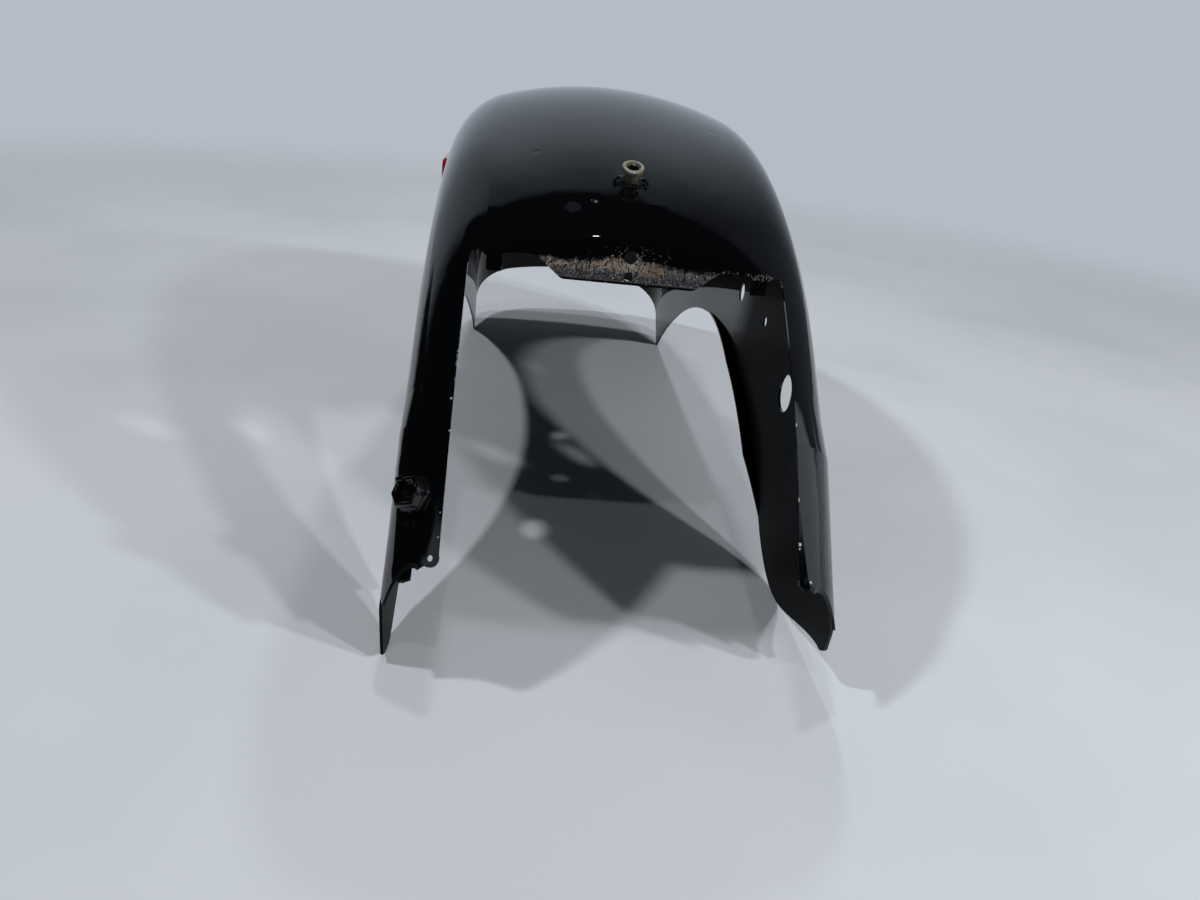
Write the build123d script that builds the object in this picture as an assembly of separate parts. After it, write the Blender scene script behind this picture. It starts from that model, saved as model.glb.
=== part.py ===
from build123d import *
import math
import os

os.makedirs("parts", exist_ok=True)

# Sizes are millimetres and degrees. X runs across, Y from front to rear, Z up.
# The rider's right is -X. Angles are turned from the top of the crown, front negative.

# How far cutting bodies run past the faces they cut
PAST = 40.0

# Clearance under pieces that seat on the outer face
SEAT_GAP = 0.02

# Sheet and overall form
SHEET = 1.5
HEIGHT = 270.0
HALF_WIDTH = 116.0
REAR_NARROW = 11.0
FRONT_R = 443.0
REAR_R = 380.0
CROWN_R = 261.0
SHOULDER_R = 52.0
SIDE_LEAN = 2.0
SIDE_SPARE = 19.5
BAND_FRONT = 63.0
BAND_REAR = 68.0

# Legs: the shoulder tightens at a joggle and again towards the toe
LEG_TURN = 52.4
LEG_SHOULDER_R = 42.0
TOE_SHOULDER_R = 4.0
JOGGLE_TOP = 42.8
JOGGLE_LOW = 46.0
LEG_FLANGE = 28.5
EAR_HOLE_R = 1.6
EAR_R = 4.4
SCOOP_R = 14.0
SCOOP_DEEP = 3.4
SCOOP_INSET = 9.5
LEG_EDGE = HALF_WIDTH - LEG_FLANGE
LEG_FRONT = FRONT_R * math.sin(math.radians(LEG_TURN))

# Front lip: tongue, slope, hollow and tab from the middle outwards, with drops from the crown's edge
LIP_TURN = 31.58
LIP_ROLL_R = 2.5
RELIEF_WIDTH = 9.5
TAB_WIDTH = 8.5
HOLLOW_WIDTH = 20.5
TONGUE_SLOPE = 12.0
TONGUE_DROP = 25.4
TONGUE_CORNER_R = 5.0
HOLLOW_DROP = 15.4
HOLLOW_RISE = 2.0
TAB_DROP = 24.4
RELIEF_R = 4.6
RELIEF_DROP = 2.9
RELIEF_DEEP = 17.0
LIP_HOLE_R = 3.55
LIP_HOLE_DROP = 10.4
LIP_LOW_HOLE_R = 2.6
LIP_LOW_HOLE_DROP = 20.9
LIP_Y = -FRONT_R * math.sin(math.radians(LIP_TURN))
TAB_OUT = LEG_EDGE - RELIEF_WIDTH
TAB_IN = TAB_OUT - TAB_WIDTH
HOLLOW_IN = TAB_IN - HOLLOW_WIDTH
TONGUE_HALF = HOLLOW_IN - TONGUE_SLOPE

# Lower outline of the sides; the leg lengths are measured back from the leg ends
REAR_FOOT_Y = 250.0
REAR_FOOT_FLAT = 4.0
REAR_EDGE_TURN = 30.0
ARCH_PEAK_Y = 8.0
ARCH_PEAK_Z = 97.5
LEFT_HEM_BACK = 149.0
LEFT_HEM_Z = 24.0
LEFT_HEEL_BACK = 97.0
LEFT_TIP_BACK = 19.0
LEFT_TIP_Z = 18.0
LEFT_TOE_Z = 40.0
RIGHT_HEM_BACK = 60.0
RIGHT_HEM_Z = 15.0
RIGHT_TIP_BACK = 30.0
RIGHT_TOE_Z = 40.0
TAIL_SETBACK = 8.0
TIP_R = 5.0
TIP_LEAN = 1.0
TIP_BULGE = 1.6
TIP_LIFT = 1.2
LEFT_HEM_WIDTH = 7.0
RIGHT_HEM_WIDTH = 4.0
HEM_REACH = 12.0
LEFT_HEM_LEAD = 40.0
RIGHT_HEM_LEAD = 1.5
HEM_TAPER_START = -70.0
HEM_TAPER_END = 60.0
SIDE_DEPTH = HEIGHT - ARCH_PEAK_Z + SIDE_SPARE
LEFT_HEM_Y = LEFT_HEM_BACK - LEG_FRONT
LEFT_HEEL_Y = LEFT_HEEL_BACK - LEG_FRONT
LEFT_TIP_Y = LEFT_TIP_BACK - LEG_FRONT
RIGHT_HEM_Y = RIGHT_HEM_BACK - LEG_FRONT
RIGHT_TIP_Y = RIGHT_TIP_BACK - LEG_FRONT

# Holes in both sides
BOSS_HOLE_Y = -195.5
BOSS_HOLE_Z = 111.0
BOSS_HOLE_R = 12.0
STRUT_HOLE_Y = -122.0
STRUT_HOLE_Z = 136.5
STRUT_HOLE_R = 4.0
WIRE_HOLE_Y = -48.0
WIRE_HOLE_Z = 138.0
WIRE_HOLE_R = 7.0

# Seat nut and its retainer
NUT_TURN = -25.1
NUT_R = 6.3
NUT_PROUD = 10.5
NUT_LAND = 2.0
NUT_WAIST_R = 5.7
NUT_FLANGE_R = 10.0
NUT_FLANGE = 2.0
NUT_THREAD_R = 3.175
NUT_THREAD_LOW = 0.8
NUT_CLEAR_R = 3.6
NUT_GAP = 0.3
RETAINER_LONG = 21.0
RETAINER_WIDE = 15.6
RETAINER_THICK = 2.6
RETAINER_CORNER_R = 5.0
RETAINER_EDGE = 0.6

# Side reflectors
REFLECTOR_FRONT_Y = 8.0
REFLECTOR_LONG = 72.0
REFLECTOR_TALL = 29.0
REFLECTOR_DROP = 64.0
REFLECTOR_PROUD = 8.0
REFLECTOR_CORNER_R = 6.0
REFLECTOR_EDGE = 1.2

# Harness clip on the right leg
CLIP_TURN = -51.2
CLIP_INSET = 13.5
CLIP_ACROSS = 22.0
CLIP_TALL = 17.0
CLIP_THICK = 6.5
CLIP_FLAT = 0.55
CLIP_POCKET = 9.0
CLIP_POCKET_DEEP = 3.0
CLIP_STEM_R = 3.0
CLIP_STEM = 7.0
CLIP_BARB_R = 3.6
CLIP_BARB_GAP = 0.5
CLIP_GAP = 0.15


def on_crown(turn, drop=0.0):
    """Point of the middle plane at a turn from the top, a drop inside the crown line."""
    radius = FRONT_R if turn < 0 else REAR_R
    reach = radius - drop
    angle = math.radians(turn)
    return reach * math.sin(angle), HEIGHT - radius + reach * math.cos(angle)


def shoulder_centre(half_width, shoulder):
    """Centre of one shoulder arc, and the angle at which it leaves the crown."""
    centre_x = half_width - shoulder
    centre_y = math.sqrt((CROWN_R - shoulder) ** 2 - centre_x ** 2) - CROWN_R
    return centre_x, centre_y, math.atan2(centre_y + CROWN_R, centre_x)


def half_section(half_width, shoulder, inset):
    """Shoulder start, shoulder middle, wall top and wall foot of one side of the section."""
    centre_x, centre_y, start = shoulder_centre(half_width, shoulder)
    end = -math.radians(SIDE_LEAN)
    radius = shoulder - inset
    reach = CROWN_R - inset
    a = (reach * math.cos(start), reach * math.sin(start) - CROWN_R)
    middle = (start + end) / 2
    b = (centre_x + radius * math.cos(middle), centre_y + radius * math.sin(middle))
    c = (centre_x + radius * math.cos(end), centre_y + radius * math.sin(end))
    d = (c[0] - (SIDE_DEPTH + c[1]) * math.tan(-end), -SIDE_DEPTH)
    return a, b, c, d


def fall(reach, shoulder):
    """Slope angle of the outer face at a distance across, and its drop below the crown line."""
    centre_x, centre_y, start = shoulder_centre(HALF_WIDTH, shoulder)
    if reach < CROWN_R * math.cos(start):
        angle = math.acos(reach / CROWN_R)
        return angle, CROWN_R - CROWN_R * math.sin(angle)
    angle = math.acos((reach - centre_x) / shoulder)
    return angle, -centre_y - shoulder * math.sin(angle)


def surface(turn, across, shoulder):
    """Plane resting on the outer face at a turn and a distance across, facing outwards."""
    angle, drop = fall(abs(across), shoulder)
    y, z = on_crown(turn, drop)
    along_y = math.sin(math.radians(turn))
    along_z = math.cos(math.radians(turn))
    out = math.sin(angle)
    over = math.copysign(math.cos(angle), across)
    x_dir = (out, -over * along_y, -over * along_z)
    return Plane((across, y, z), x_dir=x_dir, z_dir=(over, out * along_y, out * along_z))


def edge_height(reach):
    """Height of the crown's front edge at a distance across."""
    angle, drop = fall(reach, SHOULDER_R)
    return HEIGHT - FRONT_R + math.sqrt((FRONT_R - drop) ** 2 - LIP_Y ** 2)


def leg_shoulder(turn):
    """Shoulder radius of a leg at a turn below the joggle."""
    share = (abs(turn) - JOGGLE_LOW) / (BAND_FRONT - JOGGLE_LOW)
    return LEG_SHOULDER_R + (TOE_SHOULDER_R - LEG_SHOULDER_R) * share ** 3


def flip(point):
    return -point[0], point[1]


def line_of(half_width, shoulder, inset):
    """The five edges of one face of the section, left foot to right foot."""
    a, b, c, d = half_section(half_width, shoulder, inset)
    edges = [
        Edge.make_line(flip(d), flip(c)),
        Edge.make_three_point_arc(flip(c), flip(b), flip(a)),
        Edge.make_three_point_arc(flip(a), (0, -inset), a),
        Edge.make_three_point_arc(a, b, c),
        Edge.make_line(c, d),
    ]
    return edges, d


def section(turn, half_width, shoulder, inset=None):
    """The sheet's section at a turn, or the filled section inside an inset line."""
    if inset is None:
        outer, outer_foot = line_of(half_width, shoulder, 0)
        inner, inner_foot = line_of(half_width, shoulder, SHEET)
        ends = [Edge.make_line(outer_foot, inner_foot), Edge.make_line(flip(outer_foot), flip(inner_foot))]
        wire = Wire(outer + inner + ends)
    else:
        outer, foot = line_of(half_width, shoulder, inset)
        wire = Wire(outer + [Edge.make_line(foot, flip(foot))])
    y, z = on_crown(turn)
    angle = math.radians(turn)
    plane = Plane((0, y, z), x_dir=(1, 0, 0), z_dir=(0, -math.cos(angle), math.sin(angle)))
    return plane * Face(wire)


def band(inset=None):
    """Crown from the joggle to the rear, the joggle itself, and the legs down to the toes."""
    crown = []
    for step in range(5):
        turn = -JOGGLE_TOP * (1 - step / 4)
        crown.append(section(turn, HALF_WIDTH, SHOULDER_R, inset))
    for step in range(1, 5):
        narrow = REAR_NARROW * (step / 4) ** 1.5
        crown.append(section(BAND_REAR * step / 4, HALF_WIDTH - narrow, SHOULDER_R, inset))
    legs = []
    for step in range(4):
        turn = -JOGGLE_LOW - (BAND_FRONT - JOGGLE_LOW) * step / 3
        legs.append(section(turn, HALF_WIDTH, leg_shoulder(turn), inset))
    joggle = loft([legs[0], crown[0]], ruled=True)
    return loft(crown) + joggle + loft(legs)


def across(face, x_from, x_to):
    """Extrude a face drawn on the YZ plane between two distances across."""
    return extrude(Pos(x_from, 0, 0) * face, x_to - x_from, dir=(1, 0, 0))


def side_face(edges):
    return Plane.YZ * make_face(Curve() + edges)


def arch(hem_y, hem_z):
    start = (REAR_FOOT_Y - REAR_FOOT_FLAT, 0)
    return ThreePointArc(start, (ARCH_PEAK_Y, ARCH_PEAK_Z), (hem_y, hem_z))


def foot_cut(edges, last, toe_z, tip_y, tip_z):
    """Area below one side: its lower edge so far, then the tail tip, the toe and the ground."""
    below = -3 * PAST
    front = -LEG_FRONT - PAST
    tail_y = -LEG_FRONT + TAIL_SETBACK
    notch = (tail_y, toe_z)
    tip_end = (tail_y + TIP_LEAN, tip_z + TIP_R)
    tip_mid = ((tip_y + tip_end[0]) / 2 - TIP_BULGE, tip_z + TIP_LIFT)
    toe = (front, toe_z)
    low_front = (front, below)
    low_rear = (REAR_FOOT_Y + PAST, below)
    ground_rear = (REAR_FOOT_Y + PAST, 0)
    start = (REAR_FOOT_Y - REAR_FOOT_FLAT, 0)
    closing = [
        ThreePointArc(last, tip_mid, tip_end),
        Polyline(tip_end, notch, toe, low_front, low_rear, ground_rear, start),
    ]
    return side_face(edges + closing)


def ring_of(edge):
    """Ring of sheet lying on the upper side of an arch edge."""
    centre = edge.arc_center
    outer = Circle(edge.radius + SHEET)
    inner = Circle(edge.radius)
    return Plane.YZ * (Pos(centre.X, centre.Y) * (outer - inner))


def hem(side, hem_y, hem_z, width, lead):
    """Turned-in edge of one arch, full at the leg and fading past the top."""
    edge = arch(hem_y, hem_z).edge()
    inner_x = HALF_WIDTH - HEM_REACH - width
    strip = across(ring_of(edge), side * inner_x, side * HALF_WIDTH)
    wall = HALF_WIDTH - (HEIGHT - hem_z) * math.tan(math.radians(SIDE_LEAN)) * 0.6
    plan = Polyline(
        (side * wall, hem_y),
        (side * (wall - width), hem_y + lead),
        (side * (wall - width), HEM_TAPER_START),
        (side * wall, HEM_TAPER_END),
        (side * (HALF_WIDTH + PAST), HEM_TAPER_END),
        (side * (HALF_WIDTH + PAST), hem_y),
        close=True,
    )
    column = extrude(make_face(plan), HEIGHT)
    return strip & column & core


def lip_outline():
    top = edge_height(0)
    half = [
        (0, top - TONGUE_DROP),
        (TONGUE_HALF, top - TONGUE_DROP),
        (HOLLOW_IN, top - HOLLOW_DROP),
        (TAB_IN, top - HOLLOW_DROP),
        (TAB_IN, top - TAB_DROP),
        (TAB_OUT, top - TAB_DROP),
        (TAB_OUT, HEIGHT),
        (0, HEIGHT),
    ]
    face = make_face(Polyline(*half, close=True))
    hollow = Ellipse(HOLLOW_WIDTH / 2, HOLLOW_RISE)
    face = face - Pos((HOLLOW_IN + TAB_IN) / 2, top - HOLLOW_DROP) * hollow
    corner = face.vertices().sort_by_distance((TONGUE_HALF, top - TONGUE_DROP))[0]
    face = fillet(corner, TONGUE_CORNER_R)
    return face + mirror(face, about=Plane.YZ)


# Shell
core = band(SHEET / 2)
shell = band()

# Round ears that stand past the leg ends, taken from the whole band
ear_x = LEG_EDGE + EAR_R
ear_reach = FRONT_R - CROWN_R + math.sqrt(CROWN_R ** 2 - ear_x ** 2)
ear_turn = -math.degrees(math.asin(LEG_FRONT / ear_reach))
ear_high = 4 * EAR_R
ears = []
for side in (1, -1):
    ear_at = surface(ear_turn, side * ear_x, leg_shoulder(ear_turn))
    ears.append(shell & ear_at * Cylinder(EAR_R, ear_high))

# Front opening between the legs, and the upright cut at the leg ends with its scoop beside each ear
opening_deep = LEG_FRONT + 2 * PAST + LIP_Y
opening_y = LIP_Y - opening_deep / 2
shell = shell - Pos(0, opening_y, HEIGHT / 2) * Box(2 * LEG_EDGE, opening_deep, 2 * HEIGHT)
shell = shell - Pos(0, -LEG_FRONT - PAST, 0) * Box(4 * HALF_WIDTH, 2 * PAST, 2 * HEIGHT)
scoop_x = HALF_WIDTH - SCOOP_INSET
scoop_y = -LEG_FRONT - SCOOP_R + SCOOP_DEEP
for side in (1, -1):
    shell = shell - Pos(side * scoop_x, scoop_y, 0) * Cylinder(SCOOP_R, 2 * HEIGHT)

# Rear edge, sloping up and back from the rear feet
slope = math.tan(math.radians(REAR_EDGE_TURN))
rear_low = (REAR_FOOT_Y - 3 * PAST / slope, -3 * PAST)
rear_high = (REAR_FOOT_Y + 3 * PAST / slope, 3 * PAST)
rear_far = (2 * REAR_R, 3 * PAST)
rear_deep = (2 * REAR_R, -3 * PAST)
rear_cut = make_face(Polyline(rear_low, rear_high, rear_far, rear_deep, close=True))
shell = shell - across(Plane.YZ * rear_cut, -2 * HALF_WIDTH, 2 * HALF_WIDTH)

# Lower edge of the left side: arch, heel and tail
left_last = (LEFT_TIP_Y, LEFT_TIP_Z)
left_heel = Spline(
    (LEFT_HEM_Y, LEFT_HEM_Z),
    ((LEFT_HEM_Y + LEFT_HEEL_Y) / 2, LEFT_HEM_Z * 0.3),
    (LEFT_HEEL_Y, 0),
    ((LEFT_HEEL_Y + LEFT_TIP_Y) / 2, LEFT_TIP_Z * 0.42),
    left_last,
)
left_area = foot_cut([arch(LEFT_HEM_Y, LEFT_HEM_Z), left_heel], left_last, LEFT_TOE_Z, LEFT_TIP_Y, LEFT_TIP_Z)
shell = shell - across(left_area, PAST, 2 * HALF_WIDTH)

# Lower edge of the right side: a longer arch and a narrow tail
right_last = (RIGHT_TIP_Y, 0)
right_slope = Line((RIGHT_HEM_Y, RIGHT_HEM_Z), right_last)
right_area = foot_cut([arch(RIGHT_HEM_Y, RIGHT_HEM_Z), right_slope], right_last, RIGHT_TOE_Z, RIGHT_TIP_Y, 0)
shell = shell - across(right_area, -2 * HALF_WIDTH, -PAST)

# Lip below the front of the crown, rolled along its top edge
lip = extrude(Plane((0, LIP_Y + SHEET, 0), x_dir=(1, 0, 0), z_dir=(0, -1, 0)) * lip_outline(), SHEET)
shell = shell + (lip & core)
front_edges = shell.edges().filter_by_position(Axis.Y, LIP_Y - SEAT_GAP, LIP_Y + SEAT_GAP)
lip_top = []
for edge in front_edges:
    point = edge.position_at(0.5)
    if abs(point.X) < LEG_EDGE and abs(edge_height(abs(point.X)) - point.Z) < SHEET / 2:
        lip_top.append(edge)
shell = fillet(lip_top, LIP_ROLL_R)

# Turned-in edges of the two arches
shell = shell + hem(1, LEFT_HEM_Y, LEFT_HEM_Z, LEFT_HEM_WIDTH, LEFT_HEM_LEAD)
shell = shell + hem(-1, RIGHT_HEM_Y, RIGHT_HEM_Z, RIGHT_HEM_WIDTH, RIGHT_HEM_LEAD)

# Ears, holes in the lip and the ears, and relief notches at the ends of the lip
for ear in ears:
    shell = shell + ear
relief_x = (TAB_OUT + LEG_EDGE) / 2
relief_z = edge_height(relief_x) - RELIEF_DROP
for drop, radius in [(LIP_HOLE_DROP, LIP_HOLE_R), (LIP_LOW_HOLE_DROP, LIP_LOW_HOLE_R)]:
    shell = shell - Pos(0, LIP_Y, edge_height(0) - drop) * Rot(90, 0, 0) * Cylinder(radius, 4 * SHEET)
for side in (1, -1):
    relief = Rot(90, 0, 0) * Cylinder(RELIEF_R, 2 * RELIEF_DEEP)
    shell = shell - Pos(side * relief_x, LIP_Y, relief_z) * relief
    ear_at = surface(ear_turn, side * ear_x, leg_shoulder(ear_turn))
    shell = shell - ear_at * Cylinder(EAR_HOLE_R, ear_high)

# Holes through the sides
side_holes = [
    (BOSS_HOLE_Y, BOSS_HOLE_Z, BOSS_HOLE_R),
    (STRUT_HOLE_Y, STRUT_HOLE_Z, STRUT_HOLE_R),
    (WIRE_HOLE_Y, WIRE_HOLE_Z, WIRE_HOLE_R),
]
for y, z, radius in side_holes:
    shell = shell - Pos(0, y, z) * Rot(0, 90, 0) * Cylinder(radius, 4 * HALF_WIDTH)

# Holes for the seat nut and the harness clip
nut_at = surface(NUT_TURN, 0, SHOULDER_R)
clip_at = surface(CLIP_TURN, CLIP_INSET - HALF_WIDTH, leg_shoulder(CLIP_TURN))
shell = shell - nut_at * Cylinder(NUT_R + NUT_GAP, 8 * SHEET)
shell = shell - clip_at * Cylinder(CLIP_STEM_R + CLIP_GAP, 8 * SHEET)

# Seat nut: flange under the sheet, waisted neck, thread in the part above the sheet
filled = band(-SEAT_GAP)
up = (Align.CENTER, Align.CENTER, Align.MIN)
down = (Align.CENTER, Align.CENTER, Align.MAX)
flange = nut_at * Pos(0, 0, -SHEET) * Cylinder(NUT_FLANGE_R, NUT_FLANGE, align=down)
neck_low = SHEET + NUT_FLANGE / 2
neck = nut_at * Pos(0, 0, -neck_low) * Cylinder(NUT_R, NUT_PROUD + neck_low, align=up)
waist_long = NUT_PROUD - NUT_LAND - RETAINER_THICK
waist = Cylinder(2 * NUT_R, waist_long, align=up) - Cylinder(NUT_WAIST_R, waist_long, align=up)
seat_nut = (flange - shell) + neck
seat_nut = seat_nut - nut_at * Pos(0, 0, RETAINER_THICK) * waist
seat_nut = seat_nut - nut_at * Cylinder(NUT_THREAD_R, 2 * NUT_PROUD)
seat_nut = seat_nut - nut_at * Pos(0, 0, NUT_THREAD_LOW) * Cylinder(NUT_CLEAR_R, NUT_PROUD, align=down)

# Retainer plate round the foot of the nut
plate = extrude(RectangleRounded(RETAINER_LONG, RETAINER_WIDE, RETAINER_CORNER_R), RETAINER_THICK + SHEET)
plate = plate - Cylinder(NUT_R + NUT_GAP, 2 * PAST)
plate = chamfer(plate.faces().sort_by(Axis.Z)[-1].outer_wire().edges(), RETAINER_EDGE)
seat_nut_retainer = nut_at * Pos(0, 0, -SHEET) * plate - filled

# Side reflectors, their backs shaped to the sheet
lens_long = HALF_WIDTH + REFLECTOR_PROUD - LEG_EDGE
lens = extrude(RectangleRounded(REFLECTOR_LONG, REFLECTOR_TALL, REFLECTOR_CORNER_R), lens_long)
lens = chamfer(lens.faces().sort_by(Axis.Z)[-1].edges(), REFLECTOR_EDGE)
lens_y = REFLECTOR_FRONT_Y + REFLECTOR_LONG / 2
lens_z = HEIGHT - REFLECTOR_DROP - REFLECTOR_TALL / 2
reflector_left = Plane((LEG_EDGE, lens_y, lens_z), x_dir=(0, 1, 0), z_dir=(1, 0, 0)) * lens - filled
reflector_right = mirror(reflector_left, about=Plane.YZ)

# Harness clip: six-sided head with a square pocket, stem through the sheet and a barb under it
half_wide = CLIP_ACROSS / 2
half_tall = CLIP_TALL / 2
outline = Polyline(
    (half_wide, 0),
    (half_wide * CLIP_FLAT, half_tall),
    (-half_wide * CLIP_FLAT, half_tall),
    (-half_wide, 0),
    (-half_wide * CLIP_FLAT, -half_tall),
    (half_wide * CLIP_FLAT, -half_tall),
    close=True,
)
head = Pos(0, 0, -CLIP_THICK) * extrude(make_face(outline), 2 * CLIP_THICK)
head = head - Pos(0, 0, CLIP_THICK) * Box(CLIP_POCKET, CLIP_POCKET, 2 * CLIP_POCKET_DEEP)
stem = Cylinder(CLIP_STEM_R, CLIP_STEM, align=down)
barb_low = Pos(0, 0, -CLIP_STEM)
barb = barb_low * Cone(CLIP_STEM_R / 2, CLIP_BARB_R, CLIP_STEM - SHEET - CLIP_BARB_GAP, align=up)
harness_clip = (clip_at * head - filled) + clip_at * stem + clip_at * barb

# Every piece moves together so that the ground and the middle of the length meet at the origin
box = shell.bounding_box()
place = Pos(0, -(box.min.Y + box.max.Y) / 2, -box.min.Z)
export_step(place * shell, "parts/fender_shell.step")
export_step(place * seat_nut, "parts/seat_nut.step")
export_step(place * seat_nut_retainer, "parts/seat_nut_retainer.step")
export_step(place * reflector_left, "parts/reflector_left.step")
export_step(place * reflector_right, "parts/reflector_right.step")
export_step(place * harness_clip, "parts/harness_clip.step")
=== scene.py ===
import math
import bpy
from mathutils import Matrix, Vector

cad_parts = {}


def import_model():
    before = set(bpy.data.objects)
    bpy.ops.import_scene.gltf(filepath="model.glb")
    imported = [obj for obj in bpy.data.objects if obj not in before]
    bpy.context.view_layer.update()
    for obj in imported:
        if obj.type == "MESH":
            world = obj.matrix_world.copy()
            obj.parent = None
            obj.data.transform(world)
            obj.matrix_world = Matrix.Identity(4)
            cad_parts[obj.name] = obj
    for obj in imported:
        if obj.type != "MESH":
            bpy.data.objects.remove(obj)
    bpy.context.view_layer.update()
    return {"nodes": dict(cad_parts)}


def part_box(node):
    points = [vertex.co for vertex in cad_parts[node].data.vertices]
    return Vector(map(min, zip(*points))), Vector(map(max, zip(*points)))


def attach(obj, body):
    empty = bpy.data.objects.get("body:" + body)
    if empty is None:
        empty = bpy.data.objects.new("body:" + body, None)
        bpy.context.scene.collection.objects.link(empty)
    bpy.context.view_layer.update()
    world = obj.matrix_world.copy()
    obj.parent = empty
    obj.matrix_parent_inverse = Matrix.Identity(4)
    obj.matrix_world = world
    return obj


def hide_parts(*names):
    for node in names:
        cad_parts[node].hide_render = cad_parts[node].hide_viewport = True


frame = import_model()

from types import SimpleNamespace

import bpy
from mathutils import Matrix, Vector

# The part's frame: X to the rider's left, Y to the rear, Z up.
# Sizes of the part are in millimetres here and become metres in its meshes and finishes.
MM = 0.001

# Camera: place, turn, tilt and roll in degrees, lens and sensor width
EYE = Vector((-61.9, -717.0, 295.72))
EYE_YAW = 6.79
EYE_PITCH = 23.84
EYE_ROLL = 7.10
EYE_LENS = 27.0
EYE_SENSOR = 36.0
EYE_NEAREST = 10.0

# Pale room and floor, and the dome that only the gloss of the paint mirrors, in metres
ROOM_COLOUR = (0.47, 0.505, 0.56, 1.0)
ROOM_FILL = 0.06
FLOOR_COLOUR = (0.66, 0.70, 0.75, 1.0)
FLOOR_SCUFFED = (0.60, 0.64, 0.69, 1.0)
FLOOR_HALF = 30.0
FLOOR_FADE = (0.7, 1.9)
DOME_R = 6.0
DOME_LOW = -4.0
DOME_ROWS = 24
DOME_COLUMNS = 96
DOME_PEAK = 1.3
DOME_TINT = (0.90, 1.03, 1.18)
DOME_LEAST = 0.008

# Dark sheets on the floor that only the gloss mirrors, painting dark reflections ahead of the part
# and beside its right side: name, middle, heading, half of its turn, near edge
DARK_REFLECTION_SHEETS = [
    ("dark_front", (0.0, 0.0), 180.0, 74.0, 0.92),
    ("dark_side", (-0.11, -0.30), -62.0, 28.0, 0.27),
]
# Colour of the painted dark reflections
DARK_REFLECTION_COLOUR = (0.008, 0.008, 0.009, 1.0)
GROUND_FADE = 8.0
GROUND_Z = 0.003
GROUND_COLUMNS = 48

# Lamps, in metres: name, turn from straight behind the part, height angle, size, watts
LAMP_AWAY = 2.2
LAMPS = [
    ("lamp_behind", 9.0, 45.0, 0.14, 9.2),
    ("lamp_left", 260.0, 54.0, 0.14, 14.3),
    ("lamp_above", 349.0, 77.0, 0.18, 6.3),
    ("lamp_right", 139.0, 32.0, 0.14, 12.2),
    ("lamp_far_right", 126.0, 27.0, 0.14, 15.3),
]
# A small lamp over the camera that the gloss mirrors
SPARK_AT = Vector((-0.07, -1.35, 2.5))
SPARK_SIZE = 0.08
SPARK_WATTS = 4.0

# Seat nut: foot of its axis on the crown, the axis, and radii and heights from the foot
NUT_FOOT = Vector((0.0, -184.519, 228.274))
NUT_AXIS = Vector((0.0, -0.42419942, 0.9055688))
NUT_POINTS = 72
NUT_R = 6.3
NUT_TOP = 10.5
NUT_COLLAR_LOW = NUT_TOP - 2.8
NUT_NECK_R = 4.1
NUT_FLANGE_R = 10.0
NUT_FLANGE_TOP = -1.75
NUT_FLANGE_LOW = -3.6
BORE_R = 4.35
BORE_DEEP = 0.9
THREAD_R = 3.175
THREAD_DEEP = 0.5
THREAD_PITCH = 1.27
THREAD_LOW = 0.8
THREAD_TOP = NUT_TOP - BORE_DEEP - 0.8
THREAD_CLEAR_R = 3.6
THREAD_ROWS_A_TURN = 10

# Retainer plate round the nut: edge, wings and ribs as (inset, height) rows
PLATE_POINTS = 96
PLATE_HALF_LONG = 10.5
PLATE_HALF_WIDE = 5.5
PLATE_BACK = 0.03
PLATE_THICK = 1.0
PLATE_EDGE = [(0.0, PLATE_BACK), (0.0, 0.5), (0.15, 0.85), (0.6, PLATE_THICK)]
PLATE_CORNER = 2.8
PLATE_RING_R = 5.9
PLATE_RING_TOP = 2.0
PLATE_HOLE_R = 4.5
PLATE_SUNK = PLATE_THICK - 0.4
WING_AT = PLATE_HALF_LONG - 1.15
WING_HALF = (0.7, 2.9)
WING = [(0.0, PLATE_SUNK), (0.0, 2.6), (0.08, 3.0), (0.25, 3.2)]
RIB_AT = (7.6, 2.2)
RIB_HALF = (1.5, 0.5)
RIB = [(0.0, PLATE_SUNK), (0.0, 1.6), (0.12, 1.85)]
CROWN_ALONG_R = 443.0
CROWN_ACROSS_R = 261.0

# Harness clip: foot of its axis on the leg, its axis, its long direction, and (inset, height) rows
CLIP_FOOT = Vector((-102.5, -323.338, 89.813))
CLIP_AXIS = Vector((-0.67003, -0.57853, 0.46515))
CLIP_LONG = Vector((0.74235, -0.52217, 0.41982))
CLIP_HALF_LONG = 11.0
CLIP_HALF_TALL = 8.5
CLIP_FLAT = 0.55
CLIP_CORNERS = (0.06, 0.5, 0.94)
CLIP_TOP = 6.5
CLIP_HEAD = [(0.0, -1.9), (0.0, 1.6), (0.15, 2.0), (0.8, 2.2), (1.0, 2.6), (1.0, 5.6), (1.3, 6.2)]
CLIP_HEAD += [(1.8, CLIP_TOP), (2.9, CLIP_TOP), (3.4, 6.2), (3.6, 5.6), (4.2, 3.4)]
LATCH_AT = (0.3, -1.2)
LATCH_HALF = (2.8, 0.9)
LATCH = [(0.0, 3.0), (0.0, 4.9), (0.2, 5.2)]
BLOCK_AT = (-3.0, 6.2)
BLOCK_HALF = (2.9, 1.35)
BLOCK = [(0.0, 4.5), (0.0, 7.3), (0.2, 7.7), (0.6, 7.9)]
RIDGE_PLACES = [((7.0, 0.6), 3.4), ((8.9, 0.0), 1.6)]
RIDGE_HALF = 0.55
RIDGE = [(0.0, 4.5), (0.0, 7.0), (0.15, 7.3)]
# Stem and barb behind the sheet, as (radius, height) rows
STEM = [(1.2, -7.0), (1.6, -6.9), (3.55, -2.6), (3.4, -2.2), (2.95, -2.1), (2.95, 1.0)]
STEM_POINTS = 36

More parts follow.
